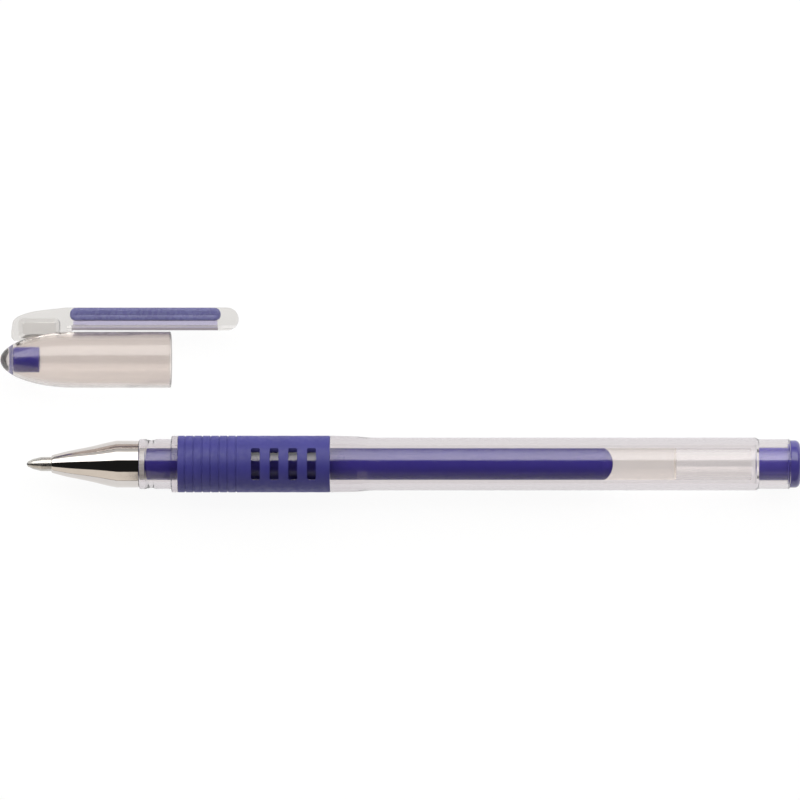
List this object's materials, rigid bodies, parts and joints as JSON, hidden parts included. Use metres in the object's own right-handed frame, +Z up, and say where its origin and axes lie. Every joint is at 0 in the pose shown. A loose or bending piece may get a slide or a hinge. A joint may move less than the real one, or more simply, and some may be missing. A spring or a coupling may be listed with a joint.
{
  "type": "gel pen",
  "caption": "Gel pen with a clear barrel, blue rubber grip, screwed metal nose cone and refill, lying beside its clear cap with a spring clip.",
  "frame": {"origin": "middle of the base of the box round the pen and its cap, on the surface they lie on", "axes": "+X along the pen from its writing tip to its tail, +Y from the pen towards the cap and its clip, +Z up"},
  "size_m": [0.1482, 0.0342, 0.0105],
  "materials": {
    "clear_barrel": "clear, glossy",
    "clear_cap": "clear, faintly warm, glossy",
    "cone_metal": "nickel-plated, mirror polished",
    "grip_rubber": "satin rubber",
    "plug_blue": "glossy, slightly translucent",
    "seal_blue": "satin rubber",
    "inlay_blue": "glossy",
    "refill_plastic": "translucent, smooth",
    "ink_blue": "wet gel",
    "follower_grease": "clear, faintly yellow grease",
    "holder_white": "smooth natural plastic",
    "tip_steel": "turned steel",
    "ball_carbide": "polished hard metal"
  },
  "bodies": {
    "barrel": {"barrel": "clear_barrel", "grip_sleeve": "grip_rubber", "tail_plug": "plug_blue"},
    "refill": {"refill_tube": "refill_plastic", "gel_ink": "ink_blue", "ink_follower": "follower_grease", "tip_holder": "holder_white", "tip_body": "tip_steel"},
    "cone": {"front_cone": "cone_metal"},
    "ball": {"writing_ball": "ball_carbide"},
    "cap": {"cap_shell": "clear_cap", "inner_seal": "seal_blue"},
    "clip": {"clip_arm": "clear_cap", "clip_inlay": "inlay_blue"}
  },
  "joints": [
    {"name": "cap_slide", "type": "slide", "parent": "barrel", "child": "cap", "axis": [1, 0, 0], "range_m": [-0.03, 0]},
    {"name": "clip_flex", "type": "hinge", "parent": "cap", "child": "clip", "pos_m": [-0.0609, 0.01501, 0.0052], "axis": [0, 0, 1], "range_deg": [0, 5], "stiffness_Nm_per_rad": 1},
    {"name": "refill_slide", "type": "slide", "parent": "barrel", "child": "refill", "axis": [1, 0, 0], "range_m": [-0.12, 0]},
    {"name": "cone_turn", "type": "hinge", "parent": "refill", "child": "cone", "pos_m": [-0.056, -0.01186, 0.00525], "axis": [1, 0, 0], "continuous": true},
    {"name": "ball_roll", "type": "hinge", "parent": "refill", "child": "ball", "pos_m": [-0.0688, -0.01186, 0.00525], "axis": [0, 1, 0], "continuous": true}
  ]
}
